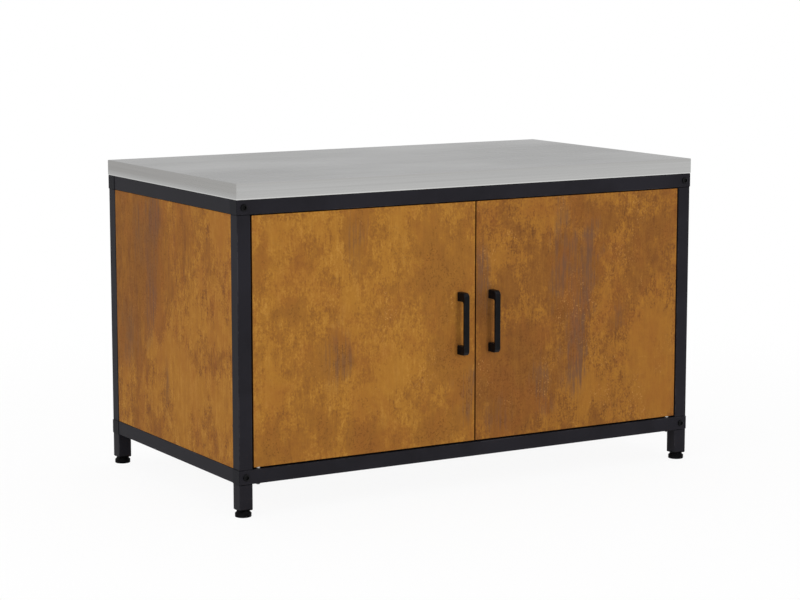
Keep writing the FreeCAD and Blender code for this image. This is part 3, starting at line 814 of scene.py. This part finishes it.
def makeCamera(setup):
    data = bpy.data.cameras.new("camera")
    data.sensor_fit = "HORIZONTAL"
    data.sensor_width = setup["sensor"]
    data.lens = setup["lens"]
    data.clip_end = setup["farthest"]
    camera = bpy.data.objects.new("camera", data)
    camera.location = setup["place"]
    camera.rotation_euler = (math.radians(90 - setup["tilt"]), 0.0, -math.radians(setup["turn"]))
    bpy.context.scene.collection.objects.link(camera)
    bpy.context.scene.camera = camera


makeCamera(cameraSetup)
print("camera placed")


# Studio: broad soft lamps, white all round, and a pale floor that keeps the shadow near the feet; the rest of
# the floor's look is the white room seen through it, so that a foot let down below it stays in sight
studio = {
    "ambient": 0.5,
    "floorSize": 60.0,
    "floorColour": (246, 246, 246),
    "shadowShare": 0.07,
    "shadowReach": (0.8, 2.2),
    "aim": (0.0, 0.0, 0.33),
    "lamps": {
        "frontLamp": {"place": (0.7, -5.0, 1.1), "size": (1.3, 1.3), "watts": 66.0},
        "sideLamp": {"place": (-4.2, -1.3, 2.4), "size": (2.4, 2.0), "watts": 64.0},
        "fillLamp": {"place": (3.2, -2.6, 1.9), "size": (2.2, 2.0), "watts": 10.0},
        "topLamp": {"place": (0.2, 0.9, 3.6), "size": (3.0, 2.4), "watts": 45.0},
    },
}


def seenRay(w):                                            # 1 where the camera or a mirror looks, else 0
    looks = [w.node("ShaderNodeLightPath", output=ray)
             for ray in ("Is Camera Ray", "Is Glossy Ray", "Is Transmission Ray")]
    return w.larger(w.larger(looks[0], looks[1]), looks[2])


def makeWorld(setup):
    world = bpy.data.worlds.new("studioWorld")
    bpy.context.scene.world = world
    world.use_nodes = True
    w = Wiring(world.node_tree)
    soft = w.node("ShaderNodeBackground", None, {"Color": white, "Strength": setup["ambient"]})
    bright = w.node("ShaderNodeBackground", None, {"Color": white, "Strength": 1.0})
    room = w.node("ShaderNodeMixShader", None, {0: seenRay(w), 1: soft, 2: bright})
    w.node("ShaderNodeOutputWorld", None, {"Surface": room})


def makeFloor(setup):
    half = setup["floorSize"] / 2
    corners = [(-half, -half, 0), (half, -half, 0), (half, half, 0), (-half, half, 0)]
    mesh = bpy.data.meshes.new("floor")
    mesh.from_pydata(corners, [], [(0, 1, 2, 3)])
    floor = bpy.data.objects.new("floor", mesh)
    bpy.context.scene.collection.objects.link(floor)
    material, w = newMaterial("paleFloor")
    away = w.node("ShaderNodeVectorMath", {"operation": "LENGTH"}, {0: w.place()}, 1)
    near = w.eased(away, *setup["shadowReach"], 1.0, 0.0)
    lit = w.node("ShaderNodeBsdfDiffuse", None, {"Color": paint(*setup["floorColour"])})
    clear = w.node("ShaderNodeBsdfTransparent", None, {"Color": white})
    shown = seenRay(w) * (1 - near * setup["shadowShare"])
    surface = w.node("ShaderNodeMixShader", None, {0: shown, 1: lit, 2: clear})
    w.node("ShaderNodeOutputMaterial", None, {"Surface": surface})
    mesh.materials.append(material)


def makeLamp(name, lamp, aim):
    data = bpy.data.lights.new(name, "AREA")
    data.shape = "RECTANGLE"
    data.size, data.size_y = lamp["size"]
    data.energy = lamp["watts"]
    made = bpy.data.objects.new(name, data)
    made.location = lamp["place"]
    towards = np.array(aim) - np.array(lamp["place"])
    turn = math.atan2(towards[0], towards[1])
    rise = math.atan2(towards[2], math.hypot(towards[0], towards[1]))
    made.rotation_euler = (math.radians(90) + rise, 0.0, -turn)
    made.visible_glossy = False                            # bright finishes mirror the room, not the lamp
    bpy.context.scene.collection.objects.link(made)


makeWorld(studio)
makeFloor(studio)
for lampName, lamp in studio["lamps"].items():
    makeLamp(lampName, lamp, studio["aim"])
bpy.context.scene.view_settings.view_transform = "Standard"
print("studio lit by", len(studio["lamps"]), "lamps")
